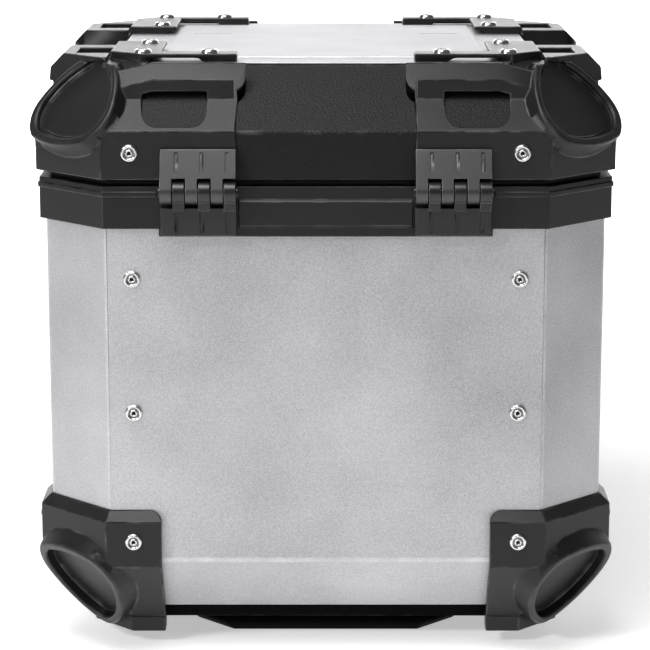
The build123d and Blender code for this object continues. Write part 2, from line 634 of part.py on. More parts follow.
bar_trim = [upper_face.offset(-FACE_CLEAR)]

with BuildPart() as lid_corner:
    add(overlay_outer)
    add(overlay_top)
    add(overlay_zone, mode=Mode.INTERSECT)
    add(front_window, mode=Mode.SUBTRACT)
    add(side_window, mode=Mode.SUBTRACT)
    add(trimmed(front_bar.part, bar_trim))
    add(trimmed(side_bar.part, bar_trim))
    add(upper_body)
    add(lid_solid, mode=Mode.SUBTRACT)
    add(panel_plate, mode=Mode.SUBTRACT)
    add(upper_recess, mode=Mode.SUBTRACT)
    add(lid_top_holes, mode=Mode.SUBTRACT)
    add(band_holes, mode=Mode.SUBTRACT)

for sx, sy in CORNERS:
    with BuildPart() as lid_corner_copy:
        add(placed_at_corner(lid_corner.part, sx, sy))
        add(hinge_holes_high, mode=Mode.SUBTRACT)
    save(lid_corner_copy, f"lid_corner_{corner_name(sx, sy)}")

# ---- hinges -------------------------------------------------------------------------
LEAF_THICK = 6.5
HINGE_W = KNUCKLES * KNUCKLE_PITCH - KNUCKLE_GAP
UPPER_LEAF = (330.6, 348.6)
LOWER_LEAF = (292.0, 310.4)
LEAF_TOP_THICK = 2.5
SCREW_BITE = 4.5
WEB_STEP = 0.5
WEB_OUT = 4.0
WEB_BITE = 1.0
BORE_OVER = 1.0
SLOT_W = 2.8
SLOT_MARGIN = 6.5
SLOT_DEPTH = 0.8
LEAF_SLOTS = (10.5, 27.0, 43.5)


def hinge_leaf(start_x, back_y, z_range, first, web_sign):
    """A plate with three knuckles; first is 0 or 1, and the webs reach up or down by web_sign."""
    low, high = z_range
    front_y = back_y - LEAF_THICK
    web_end = low + WEB_BITE if web_sign > 0 else high - WEB_BITE
    web_back_y = back_y - WEB_STEP
    top_y = back_y - LEAF_TOP_THICK
    to_top = (top_y - HINGE_AXIS_Y, high - HINGE_AXIS_Z)
    distance = sqrt(to_top[0] ** 2 + to_top[1] ** 2)
    tangent_turn = atan2(to_top[1], to_top[0]) + acos(KNUCKLE_R / distance)
    tangent = (HINGE_AXIS_Y + KNUCKLE_R * cos(tangent_turn), HINGE_AXIS_Z + KNUCKLE_R * sin(tangent_turn))
    lean = (tangent[0] - top_y) / (tangent[1] - high)

    def face_at(z):
        """Where the slanted face is at a height; it runs from the leaf's top to a tangent on the knuckle."""
        return top_y + (z - high) * lean

    with BuildPart() as leaf:
        if web_sign > 0:
            with BuildSketch(Plane.YZ.offset(start_x)):
                with BuildLine():
                    Polyline((back_y, low), (back_y, high), (back_y - LEAF_TOP_THICK, high), (face_at(low), low),
                             close=True)
                make_face()
            extrude(amount=HINGE_W)
        else:
            with BuildSketch(Plane.XZ.offset(-back_y)):
                with Locations((start_x + HINGE_W / 2, (low + high) / 2)):
                    Rectangle(HINGE_W, high - low)
            extrude(amount=LEAF_THICK)
        for n in range(first, KNUCKLES, 2):
            knuckle_x = start_x + n * KNUCKLE_PITCH
            with BuildSketch(Plane.YZ.offset(knuckle_x)):
                with Locations((HINGE_AXIS_Y, HINGE_AXIS_Z)):
                    Circle(KNUCKLE_R)
                if web_sign > 0:
                    with BuildLine():
                        Polyline((web_back_y, web_end), (face_at(web_end), web_end), tangent,
                                 (HINGE_AXIS_Y, HINGE_AXIS_Z), (web_back_y, HINGE_AXIS_Z), close=True)
                    make_face()
                else:
                    web_front_y = HINGE_AXIS_Y - WEB_OUT
                    with Locations(((web_back_y + web_front_y) / 2, (HINGE_AXIS_Z + web_end) / 2)):
                        Rectangle(web_back_y - web_front_y, HINGE_AXIS_Z - web_end)
            extrude(amount=KNUCKLE_PITCH - KNUCKLE_GAP)
        with BuildSketch(Plane.YZ.offset(start_x - BORE_OVER)):
            with Locations((HINGE_AXIS_Y, HINGE_AXIS_Z)):
                Circle(HINGE_PIN_R + RUNNING)
        extrude(amount=HINGE_W + 2 * BORE_OVER, mode=Mode.SUBTRACT)
        if web_sign > 0:
            slot_plane = Plane(origin=(0, top_y, high), x_dir=(1, 0, 0), z_dir=(0, -1, lean))
        else:
            slot_plane = Plane(origin=(0, front_y, high), x_dir=(1, 0, 0), z_dir=(0, -1, 0))
        with BuildSketch(slot_plane):
            for dx in LEAF_SLOTS:
                with Locations((start_x + dx, (low - high) / 2)):
                    SlotCenterToCenter(high - low - SLOT_MARGIN, SLOT_W, rotation=90)
        extrude(amount=-SLOT_DEPTH, mode=Mode.SUBTRACT)
        screw_z = HINGE_SCREW_HIGH_Z if web_sign > 0 else HINGE_SCREW_LOW_Z
        with BuildSketch(Plane.XZ.offset(-back_y)):
            for dx in HINGE_SCREW_DX:
                with Locations((start_x + dx, screw_z)):
                    Circle(HINGE_SCREW_R)
        extrude(amount=SCREW_BITE, mode=Mode.SUBTRACT)
    return leaf.part


PIN_HEAD_R = 3.4
PIN_HEAD_W = 1.0
PIN_PLAY = 0.1
for start_x in HINGE_X:
    side = side_name(start_x)
    with BuildPart() as upper_leaf:
        add(hinge_leaf(start_x, -FRONT_Y, UPPER_LEAF, 0, 1))
    save(upper_leaf, f"hinge_upper_leaf_{side}")
    with BuildPart() as lower_leaf:
        add(hinge_leaf(start_x, -LID_SIZE[1], LOWER_LEAF, 1, -1))
    save(lower_leaf, f"hinge_lower_leaf_{side}")
    with BuildPart() as hinge_pin:
        with BuildSketch(Plane.YZ.offset(start_x)):
            with Locations((HINGE_AXIS_Y, HINGE_AXIS_Z)):
                Circle(HINGE_PIN_R)
        extrude(amount=HINGE_W)
        for head_x in (start_x - PIN_HEAD_W - PIN_PLAY, start_x + HINGE_W + PIN_PLAY):
            with BuildSketch(Plane.YZ.offset(head_x)):
                with Locations((HINGE_AXIS_Y, HINGE_AXIS_Z)):
                    Circle(PIN_HEAD_R)
            extrude(amount=PIN_HEAD_W)
        for neck_x in (start_x - 2 * PIN_PLAY, start_x + HINGE_W - PIN_PLAY):
            with BuildSketch(Plane.YZ.offset(neck_x)):
                with Locations((HINGE_AXIS_Y, HINGE_AXIS_Z)):
                    Circle(HINGE_PIN_R)
            extrude(amount=3 * PIN_PLAY)
    save(hinge_pin, f"hinge_pin_{side}")

# ---- screws that hold the hinge leaves from inside ----------------------------------
INSIDE_HEAD_R = 4.0
INSIDE_HEAD_H = 2.2
SCREW_GRIP = 3.5


def screws_along_y(places, head_y, length):
    """Round-headed screws with their heads at head_y and their tips towards -Y."""
    with BuildPart() as screws:
        with BuildSketch(Plane.XZ.offset(-head_y)):
            with Locations(*places):
                Circle(HINGE_SCREW_R)
        extrude(amount=length)
        with BuildSketch(Plane.XZ.offset(-head_y)):
            with Locations(*places):
                Circle(INSIDE_HEAD_R)
        extrude(amount=-INSIDE_HEAD_H)
    return screws.part


low_places = [(x + dx, HINGE_SCREW_LOW_Z) for x in HINGE_X for dx in HINGE_SCREW_DX]
high_places = [(x + dx, HINGE_SCREW_HIGH_Z) for x in HINGE_X for dx in HINGE_SCREW_DX]
COLLAR_INNER_Y = -(BODY_HALF_D - COLLAR_IN)
LID_INNER_Y = -(LID_SIZE[1] - LID_WALL)
with BuildPart() as hinge_screws_case:
    add(screws_along_y(low_places, COLLAR_INNER_Y, LID_SIZE[1] - BODY_HALF_D + COLLAR_IN + SCREW_GRIP))
save(hinge_screws_case, "hinge_screws_case")
with BuildPart() as hinge_screws_lid:
    add(screws_along_y(high_places, LID_INNER_Y, LID_WALL + OVERLAY + SCREW_GRIP))
save(hinge_screws_lid, "hinge_screws_lid")

# ---- rivets -------------------------------------------------------------------------
RIVET_HEAD_H = 2.3
RIVET_EYE_R = 1.5
RIVET_TAIL_R = 3.6
RIVET_TAIL_H = 1.6
RIVET_EYE_Z = 0.6
RIVET_RIM_H = 0.5
RIVET_CROWN = (4.2, 1.8)


def rivet(grip):
    """A dome rivet on +Z: its head stands on Z = 0, and its tail is grip below."""
    with BuildPart() as one:
        with BuildSketch(Plane.XZ):
            with BuildLine():
                Polyline((RIVET_EYE_R, RIVET_HEAD_H), (RIVET_EYE_R, RIVET_EYE_Z), (0, RIVET_EYE_Z),
                         (0, -grip - RIVET_TAIL_H),
                         (RIVET_TAIL_R, -grip - RIVET_TAIL_H), (RIVET_TAIL_R, -grip),
                         (RIVET_SHANK_R - RUNNING, -grip), (RIVET_SHANK_R - RUNNING, 0), (RIVET_HEAD_R, 0),
                         (RIVET_HEAD_R, RIVET_RIM_H))
                ThreePointArc((RIVET_HEAD_R, RIVET_RIM_H), RIVET_CROWN, (RIVET_EYE_R, RIVET_HEAD_H))
            make_face()
        revolve(axis=Axis.Z)
    return one.part


def facing(x, y, z, direction):
    """Turns +Z to the direction and moves to the place."""
    return Plane(origin=(x, y, z), z_dir=direction)


case_rivet = rivet(2 * SHEET)
with BuildPart() as case_rivets:
    for side in (-1, 1):
        for x, z in CASE_RIVETS:
            add(facing(x, side * BODY_HALF_D, z, (0, side, 0)) * case_rivet)
save(case_rivets, "case_rivets")

guard_rivet_front = rivet(GUARD_PROUD + 2 * SHEET)
guard_rivet_side = rivet(GUARD_PROUD + SHEET)
with BuildPart() as lower_corner_rivets:
    for sx, sy in CORNERS:
        front_place = (sx * GUARD_RIVET_X, sy * (BODY_HALF_D + GUARD_PROUD), GUARD_RIVET_Z)
        add(facing(*front_place, (0, sy, 0)) * guard_rivet_front)
        side_place = (sx * (BODY_HALF_W + GUARD_PROUD), sy * GUARD_RIVET_Y, GUARD_RIVET_Z)
        add(facing(*side_place, (sx, 0, 0)) * guard_rivet_side)
save(lower_corner_rivets, "lower_corner_rivets")

top_rivet = rivet(FLANGE_TOP_Z - LID_TOP_Z + LID_WALL)
with BuildPart() as lid_rivets_top:
    for x, y in lid_rivet_posts:
        add(facing(x, y, FLANGE_TOP_Z, (0, 0, 1)) * top_rivet)
save(lid_rivets_top, "lid_rivets_top")

band_rivet = rivet(LID_WALL + OVERLAY)
with BuildPart() as lid_rivets_band:
    for sx, sy in CORNERS:
        add(facing(sx * BAND_RIVET_X, sy * FRONT_Y, BAND_RIVET_Z, (0, sy, 0)) * band_rivet)
        add(facing(sx * SIDE_X, sy * BAND_RIVET_Y, BAND_RIVET_Z, (sx, 0, 0)) * band_rivet)
save(lid_rivets_band, "lid_rivets_band")

# ---- latches on the far side ---------------------------------------------------------
BRACKET_BACK_Y = FRONT_Y
BRACKET_HALF_W = 24.0
BRACKET_PLATE = 2.5
BRACKET_Z = (332.0, 357.0)
LUG_W = 3.5
LUG_DROP = 9.0
LUG_RISE = 5.0
LUG_OUT = 4.5
LUG_NOSE = 2.0
PLATE_CORNER_R = 3.0
LATCH_PIN_R = 2.0
BARREL_R = 4.0
LEVER_HALF_W = 19.8
LEVER_FACE_IN = 187.2
LEVER_THICK = 4.6
LEVER_LOW_Z = 296.0
LEVER_TIP_Y = 199.0
LEVER_TIP_DROP = 4.0
LEVER_HEEL_RISE = 3.0
LEVER_TAPER = 2.0
KEEPER_HALF_W = 20.0
KEEPER_OUT_Y = 186.5
KEEPER_Z = (297.0, 320.0)
POCKET_Y = (181.6, 184.6)
POCKET_HALF_W = 7.0
POCKET_Z = (300.6, 314.0)
KEYWAY_HALF_W = 2.7
KEYWAY_DEPTH = 10.0
LOCK_R = 6.0
LOCK_HEAD_R = 7.5
LOCK_HEAD_H = 1.4
LOCK_BORE = 14.0
LOCK_INSET = 0.2
LOCK_LIFT = 0.1
KEY_SLOT = (6.0, 1.6)
KEY_DEPTH = 3.0
TONGUE_HALF_L = 5.6
TONGUE_HALF_W = 2.1
TONGUE_CLEAR = 0.4
LOCK_NECK_R = 2.0
LOCK_NECK_OVER = 1.0

for middle in (-LATCH_X, LATCH_X):
    side = side_name(middle)
    with BuildPart() as bracket:
        with BuildSketch(Plane.XZ.offset(-BRACKET_BACK_Y)):
            with Locations((middle, sum(BRACKET_Z) / 2)):
                RectangleRounded(2 * BRACKET_HALF_W, BRACKET_Z[1] - BRACKET_Z[0], PLATE_CORNER_R)
        extrude(amount=-BRACKET_PLATE)
        for lug_x in (middle - BRACKET_HALF_W, middle + BRACKET_HALF_W - LUG_W):
            with BuildSketch(Plane.YZ.offset(lug_x)):
                with BuildLine():
                    Polyline((BRACKET_BACK_Y, LATCH_AXIS_Z - LUG_DROP), (LATCH_AXIS_Y, LATCH_AXIS_Z - LUG_RISE),
                             (LATCH_AXIS_Y + LUG_OUT, LATCH_AXIS_Z - LUG_NOSE),
                             (LATCH_AXIS_Y + LUG_OUT, LATCH_AXIS_Z + LUG_NOSE),
                             (LATCH_AXIS_Y, LATCH_AXIS_Z + LUG_RISE),
                             (BRACKET_BACK_Y, LATCH_AXIS_Z + LUG_RISE), close=True)
                make_face()
            extrude(amount=LUG_W)
        with BuildSketch(Plane.YZ.offset(middle - BRACKET_HALF_W - BORE_OVER)):
            with Locations((LATCH_AXIS_Y, LATCH_AXIS_Z)):
                Circle(LATCH_PIN_R)
        extrude(amount=2 * (BRACKET_HALF_W + BORE_OVER), mode=Mode.SUBTRACT)
    save(bracket, f"latch_bracket_{side}")

    with BuildPart() as latch_pin:
        with BuildSketch(Plane.YZ.offset(middle - BRACKET_HALF_W)):
            with Locations((LATCH_AXIS_Y, LATCH_AXIS_Z)):
                Circle(LATCH_PIN_R)
        extrude(amount=2 * BRACKET_HALF_W)
    save(latch_pin, f"latch_pin_{side}")

    with BuildPart() as lever:
        with BuildSketch(Plane.YZ.offset(middle - LEVER_HALF_W)):
            with BuildLine():
                Polyline((LEVER_FACE_IN, LATCH_AXIS_Z), (LEVER_FACE_IN, LEVER_LOW_Z),
                         (LEVER_TIP_Y, LEVER_LOW_Z - LEVER_TIP_DROP), (LEVER_TIP_Y, LEVER_LOW_Z),
                         (LEVER_FACE_IN + LEVER_THICK + LEVER_TAPER, LEVER_LOW_Z + LEVER_HEEL_RISE),
                         (LEVER_FACE_IN + LEVER_THICK, LATCH_AXIS_Z), close=True)
            make_face()
            with Locations((LATCH_AXIS_Y, LATCH_AXIS_Z)):
                Circle(BARREL_R)
        extrude(amount=2 * LEVER_HALF_W)
        with BuildSketch(Plane.YZ.offset(middle - LEVER_HALF_W - BORE_OVER)):
            with Locations((LATCH_AXIS_Y, LATCH_AXIS_Z)):
                Circle(LATCH_PIN_R + RUNNING)
        extrude(amount=2 * (LEVER_HALF_W + BORE_OVER), mode=Mode.SUBTRACT)
        with BuildSketch(Plane.XZ.offset(-LEVER_FACE_IN + BORE_OVER)):
            with Locations((middle, LOCK_Z)):
                Circle(LOCK_R + RUNNING)
        extrude(amount=-LOCK_BORE, mode=Mode.SUBTRACT)
    save(lever, f"latch_lever_{side}")

    lock_face_y = LEVER_FACE_IN + LEVER_THICK + LEVER_TAPER
    with BuildPart() as lock_plug:
        with BuildSketch(Plane.XZ.offset(-LEVER_FACE_IN - LOCK_INSET)):
            with Locations((middle, LOCK_Z)):
                Circle(LOCK_R)
        extrude(amount=-(lock_face_y - LEVER_FACE_IN))
        with BuildSketch(Plane.XZ.offset(-lock_face_y - LOCK_LIFT)):
            with Locations((middle, LOCK_Z)):
                Circle(LOCK_HEAD_R)
        extrude(amount=-LOCK_HEAD_H)
        with BuildSketch(Plane.XZ.offset(-lock_face_y - LOCK_LIFT - LOCK_HEAD_H)):
            with Locations((middle, LOCK_Z)):
                SlotOverall(*KEY_SLOT, rotation=90)
        extrude(amount=KEY_DEPTH, mode=Mode.SUBTRACT)
        with BuildSketch(Plane.XZ.offset(-POCKET_Y[0] - TONGUE_CLEAR)):
            with Locations((middle, LOCK_Z)):
                SlotOverall(2 * TONGUE_HALF_L, 2 * TONGUE_HALF_W, rotation=90)
        extrude(amount=-(POCKET_Y[1] - POCKET_Y[0] - 2 * TONGUE_CLEAR))
        with BuildSketch(Plane.XZ.offset(-POCKET_Y[0] - TONGUE_CLEAR)):
            with Locations((middle, LOCK_Z)):
                Circle(LOCK_NECK_R)
        extrude(amount=-(LEVER_FACE_IN - POCKET_Y[0] + LOCK_NECK_OVER))
    save(lock_plug, f"lock_plug_{side}")

    with BuildPart() as keeper:
        with BuildSketch(Plane.XZ.offset(-LID_SIZE[1])):
            with Locations((middle, sum(KEEPER_Z) / 2)):
                RectangleRounded(2 * KEEPER_HALF_W, KEEPER_Z[1] - KEEPER_Z[0], PLATE_CORNER_R)
        extrude(amount=-(KEEPER_OUT_Y - LID_SIZE[1]))
        with BuildSketch(Plane.XZ.offset(-POCKET_Y[0])):
            with Locations((middle, sum(POCKET_Z) / 2)):
                Rectangle(2 * POCKET_HALF_W, POCKET_Z[1] - POCKET_Z[0])
        extrude(amount=-(POCKET_Y[1] - POCKET_Y[0]), mode=Mode.SUBTRACT)
        with BuildSketch(Plane.XZ.offset(-POCKET_Y[0])):
            with Locations((middle, (POCKET_Z[0] + KEEPER_Z[1] + BORE_OVER) / 2)):
                Rectangle(2 * KEYWAY_HALF_W, KEEPER_Z[1] + BORE_OVER - POCKET_Z[0])
        extrude(amount=-KEYWAY_DEPTH, mode=Mode.SUBTRACT)
    save(keeper, f"latch_keeper_{side}")

# ---- eyelets for the lid-retaining cords ---------------------------------------------
EYE_W = 14.0
EYE_H = 18.0
EYE_HOLE_R = 3.0
EYE_BASE = 3.0
EYE_OUT = 9.0
EAR_H = 10.0
EAR_W = 4.0
EAR_ROOT = 1.0


def eyelet(x, z, inner_x):
    """A small ear with a hole along Y, standing on a base plate on a side wall."""
    side = 1 if x > 0 else -1
    with BuildPart() as ear:
        with BuildSketch(Plane.YZ.offset(side * inner_x)):
            with Locations((STAY_Y, z)):
                RectangleRounded(EYE_W, EYE_H, PLATE_CORNER_R)
        extrude(amount=-side * EYE_BASE)
        with BuildSketch(Plane.XZ.offset(-STAY_Y + EAR_W / 2)):
            with Locations((side * (inner_x - EYE_BASE - EYE_OUT / 2), z)):
                Rectangle(EYE_OUT + EAR_ROOT, EAR_H)
        extrude(amount=-EAR_W)
        with BuildSketch(Plane.XZ.offset(-STAY_Y + EAR_W)):
            with Locations((side * (inner_x - EYE_BASE - EYE_OUT / 2), z)):
                Circle(EYE_HOLE_R)
        extrude(amount=-2 * EAR_W, mode=Mode.SUBTRACT)
    return ear.part


STAY_Y = 40.0
CASE_EYE_Z = 285.0
LID_EYE_Z = 347.0
CASE_EYE_X = BODY_HALF_W - SHEET
LID_EYE_X = LID_SIZE[0] - LID_WALL
with BuildPart() as stay_anchors_case:
    add(eyelet(-1, CASE_EYE_Z, CASE_EYE_X))
    add(eyelet(1, CASE_EYE_Z, CASE_EYE_X))
save(stay_anchors_case, "stay_anchors_case")
with BuildPart() as stay_anchors_lid:
    add(eyelet(-1, LID_EYE_Z, LID_EYE_X))
    add(eyelet(1, LID_EYE_Z, LID_EYE_X))
save(stay_anchors_lid, "stay_anchors_lid")
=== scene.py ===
# %% [markdown]
# # A motorcycle top case, dressed for the camera
#
# The case is a bent aluminium tub with black moulded corners, a hinged lid and two locking latches.
# Its exact shapes and joints come from a packed CAD model. This lesson loads that model and never moves it.
# Each visible part then gets rounded edges, its small details and a finish of its own.

# %% Load the packed model
import json
from math import cos, radians, sin

import bmesh
import bpy
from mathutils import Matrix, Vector


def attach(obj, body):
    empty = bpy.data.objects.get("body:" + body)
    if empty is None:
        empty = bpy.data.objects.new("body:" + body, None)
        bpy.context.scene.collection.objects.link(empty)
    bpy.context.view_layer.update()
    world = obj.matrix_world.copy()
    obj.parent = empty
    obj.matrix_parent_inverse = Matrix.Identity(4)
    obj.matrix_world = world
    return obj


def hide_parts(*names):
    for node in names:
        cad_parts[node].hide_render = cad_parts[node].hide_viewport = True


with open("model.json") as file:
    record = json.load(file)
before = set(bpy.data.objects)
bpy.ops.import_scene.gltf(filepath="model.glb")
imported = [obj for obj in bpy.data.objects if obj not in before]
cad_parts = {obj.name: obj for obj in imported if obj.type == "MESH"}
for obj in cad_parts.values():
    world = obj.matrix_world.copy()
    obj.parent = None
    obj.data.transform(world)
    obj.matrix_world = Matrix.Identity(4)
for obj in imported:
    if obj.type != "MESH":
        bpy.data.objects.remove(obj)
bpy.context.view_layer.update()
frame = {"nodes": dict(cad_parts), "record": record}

MM = 0.001
nodes = frame["nodes"]
record = frame["record"]
body_of_node = {node: body for body, held in record["behaviour"]["bodies"].items() for node in held}
slot_of_node = {part["node"]: part["material_slot"] for part in record["subparts"]}

# %% [markdown]
# ## Camera
#
# A long lens from nearly two metres keeps the case's upright edges almost parallel, as in a catalogue view.
# A camera without any perspective would keep them quite parallel, but then the far edges would not draw in.
# It looks down on the case by twelve degrees, so the top shows as a thin bright strip.

# %% Camera
CAMERA_PLACE = (-0.0005, -1.7986, 0.5758)
CAMERA_TILT = 12.0
CAMERA_LENS = 139.4
SENSOR_WIDTH = 36.0
FARTHEST_SEEN = 50.0

camera_data = bpy.data.cameras.new("camera")
camera_data.lens = CAMERA_LENS
camera_data.sensor_width = SENSOR_WIDTH
camera_data.clip_end = FARTHEST_SEEN
camera = bpy.data.objects.new("camera", camera_data)
camera.location = CAMERA_PLACE
camera.rotation_euler = (radians(90.0 - CAMERA_TILT), 0.0, 0.0)
bpy.context.scene.collection.objects.link(camera)
bpy.context.scene.camera = camera
print("camera", tuple(camera.location))

# %% [markdown]
# ## Floor and backdrop
#
# The floor sweeps up into a backdrop behind the case, so no corner gathers a shadow. It could be a plane with
# a bevelled fold. Here a side view of the sweep is drawn as a line of points and stretched sideways, which
# says exactly where the bend starts and how wide it is.

# %% Floor that turns up into a backdrop
FLOOR_HALF_W = 6.0
FLOOR_FRONT_Y = -5.0
SWEEP_START_Y = 3.0
SWEEP_RADIUS = 1.2
SWEEP_STEPS = 12
BACKDROP_TOP_Z = 5.0

sweep_line = [(FLOOR_FRONT_Y, 0.0)]
for step in range(SWEEP_STEPS + 1):
    turn = radians(90.0) * step / SWEEP_STEPS
    sweep_line.append((SWEEP_START_Y + SWEEP_RADIUS * sin(turn), SWEEP_RADIUS * (1 - cos(turn))))
sweep_line.append((SWEEP_START_Y + SWEEP_RADIUS, BACKDROP_TOP_Z))
floor_mesh = bpy.data.meshes.new("studio_floor")
floor_points = [(x, y, z) for y, z in sweep_line for x in (-FLOOR_HALF_W, FLOOR_HALF_W)]
floor_faces = [(2 * n, 2 * n + 1, 2 * n + 3, 2 * n + 2) for n in range(len(sweep_line) - 1)]
floor_mesh.from_pydata(floor_points, [], floor_faces)
floor_mesh.shade_smooth()
floor = bpy.data.objects.new("studio_floor", floor_mesh)
bpy.context.scene.collection.objects.link(floor)
print("floor strips", len(floor_faces))

# %% [markdown]
# ## Light
#
# Black plastic shows its shape only by what it mirrors, so a black case needs big soft lights. One softbox
# hangs above. One stands at the front left and makes that side the brighter one. The widest lights the
# backdrop. The world adds a little light from everywhere, which keeps the shadows open.


# %% Soft lights
def soft_light(name, place, target, size, power):
    """A rectangular softbox that faces the target."""
    data = bpy.data.lights.new(name, "AREA")
    data.shape = "RECTANGLE"
    data.size, data.size_y = size
    data.energy = power
    lamp = bpy.data.objects.new(name, data)
    lamp.location = place
    aim = Vector(target) - Vector(place)
    lamp.rotation_euler = aim.to_track_quat("-Z", "Y").to_euler()
    bpy.context.scene.collection.objects.link(lamp)
    print(name, power, "W")


# Each softbox has its place, the spot it faces, its width and height, and its power in watts.
SOFTBOXES = {
    "light_above": ((-0.3, -0.6, 1.6), (0.0, -0.2, 0.2), (1.1, 0.6), 20.0),
    "light_key": ((-1.9, -1.9, 1.75), (0.0, 0.0, 0.2), (0.5, 0.5), 36.0),
    "light_behind": ((0.0, 2.2, 1.6), (0.0, 3.6, 0.6), (3.0, 1.2), 110.0),
}
for light, (stands, faces, size, power) in SOFTBOXES.items():
    soft_light(light, stands, faces, size, power)

# %% Light from everywhere
WHITE = (1.0, 1.0, 1.0, 1.0)
WORLD_STRENGTH = 0.10

world = bpy.data.worlds.new("studio")
world.use_nodes = True
sky = world.node_tree.nodes["Background"]
sky.inputs["Color"].default_value = WHITE
sky.inputs["Strength"].default_value = WORLD_STRENGTH
bpy.context.scene.world = world
bpy.context.scene.view_settings.view_transform = "Standard"
print("world strength", WORLD_STRENGTH)

# %% [markdown]
# ## A small language for finishes
#
# A finish is a web of shader nodes, and sums such as `1 - mask` are easier to read than a web.
# The class below wraps one socket. Adding or multiplying two of them makes the Math node that does it,
# and one method makes every other kind of node.


# %% The socket wrapper
class Wire:
    """One output socket of a material's nodes, which can be used in sums."""

    def __init__(self, socket):
        self.socket = socket

    def node(self, kind, settings=None, inputs=None, out=0):
        """Makes a node: its settings first, then the values or links of its sockets."""
        tree = self.socket.id_data
        made = tree.nodes.new(kind)
        for name, value in (settings or {}).items():
            setattr(made, name, value)
        for name, value in (inputs or {}).items():
            if isinstance(value, Wire):
                tree.links.new(value.socket, made.inputs[name])
            else:
                made.inputs[name].default_value = value
        return Wire(made.outputs[out])

    def maths(self, operation, first, second):
        return self.node("ShaderNodeMath", {"operation": operation}, {0: first, 1: second})

    def __add__(self, other):
        return self.maths("ADD", self, other)

    def __radd__(self, other):
        return self.maths("ADD", other, self)

    def __sub__(self, other):
        return self.maths("SUBTRACT", self, other)

    def __rsub__(self, other):
        return self.maths("SUBTRACT", other, self)

    def __mul__(self, other):
        return self.maths("MULTIPLY", self, other)

    def __rmul__(self, other):
        return self.maths("MULTIPLY", other, self)

    def between(self, low, high):
        """Nought below low, one above high, and a straight run between them."""
        limits = {"Value": self, "From Min": low, "From Max": high}
        return self.node("ShaderNodeMapRange", {"clamp": True}, limits)

    def blend(self, first, second):
        """A mix of two colours by this mask."""
        return self.node("ShaderNodeMix", {"data_type": "RGBA"}, {0: self, 6: first, 7: second}, out=2)

    def noise(self, scale, detail=2.0, roughness=0.5):
        """Cloudy noise on this place."""
        sockets = {"Vector": self, "Scale": scale, "Detail": detail, "Roughness": roughness}
        return self.node("ShaderNodeTexNoise", None, sockets)

    def cells(self, scale):
        """Distances in a field of random cells, which look like moulded pebbles."""
        return self.node("ShaderNodeTexVoronoi", {"feature": "F1"}, {"Vector": self, "Scale": scale})

    def bump(self, distance, strength):
        """A normal that follows this height."""
        sockets = {"Height": self, "Distance": distance, "Strength": strength}
        return self.node("ShaderNodeBump", None, sockets)

    def attribute(self, name):
        """A number that is stored on the piece's mesh under this name."""
        return self.node("ShaderNodeAttribute", {"attribute_name": name}, None, out=2)


print("a Wire knows", [name for name in vars(Wire) if not name.startswith("_")])

# %% [markdown]
# ## What every finish shares
#
# Each finish starts as a plain shader whose metal and shine are fixed numbers. Its patterns are laid on the
# piece's own coordinates in metres, so a grain has the same size on every part. A layer on the mesh says
# where an edge was rounded, and the finishes let that edge look handled.

# %% Two helpers for a finish
EDGE_LAYER = "edge"


def grey(value, blue=0.0):
    """A neutral colour, with a little more blue where that is asked for."""
    return (value, value, value + blue, 1.0)


def new_finish(name, metallic, specular=0.5):
    """An empty finish: the material, its shader and the place on the piece."""
    material = bpy.data.materials.new(name)
    material.use_nodes = True
    tree = material.node_tree
    shader = tree.nodes["Principled BSDF"]
    shader.inputs["Metallic"].default_value = metallic
    shader.inputs["Specular IOR Level"].default_value = specular
    place = Wire(tree.nodes.new("ShaderNodeTexCoord").outputs["Object"])
    print("finish", name)
    return material, shader, place


def plug(shader, **wires):
    """Joins wires to the shader's sockets; underscores in a name stand for spaces."""
    for name, wire in wires.items():
        shader.id_data.links.new(wire.socket, shader.inputs[name.replace("_", " ")])


# %% [markdown]
# ## Anodised sheet
#
# Bead-blasted and anodised aluminium is a matt silver. Up close it is a field of tiny dimples,
# each a little lighter or darker than the next, with faint clouds where the bath ran unevenly.
# A flat grey would look like paint, so the dimples are both a colour change and a bump.
# Worn edges are brighter, and a little smoother.

# %% Anodised aluminium
SHEET_TONE = 0.488
DIMPLE_SCALE = 1150.0
DIMPLE_DEPTH = 0.12 * MM
BATH_SCALE = 9.0
RUB_SCALE = 60.0
SHEET_ROUGHNESS = 0.52
ROUGHNESS_SWING = 0.16


def anodised(name, tone):
    material, shader, place = new_finish(name, metallic=0.85)
    dimples = place.noise(DIMPLE_SCALE, 3.0, 0.7)
    clouds = place.noise(BATH_SCALE, 3.0, 0.55)
    shade = dimples.between(0.25, 0.75) * 0.7 + clouds.between(0.3, 0.7) * 0.3
    worn = place.attribute(EDGE_LAYER) * place.noise(RUB_SCALE, 4.0).between(0.3, 0.8) * 0.35
    sheet = shade.blend(grey(tone * 0.52, 0.008), grey(tone * 1.44, 0.022))
    plug(
        shader,
        Base_Color=worn.blend(sheet, grey(0.86)),
        Roughness=SHEET_ROUGHNESS - worn * ROUGHNESS_SWING + (dimples - 0.5) * ROUGHNESS_SWING,
        Normal=dimples.bump(DIMPLE_DEPTH, 0.55),
    )
    return material


finishes = {"anodised_sheet": anodised("anodised_sheet", SHEET_TONE)}
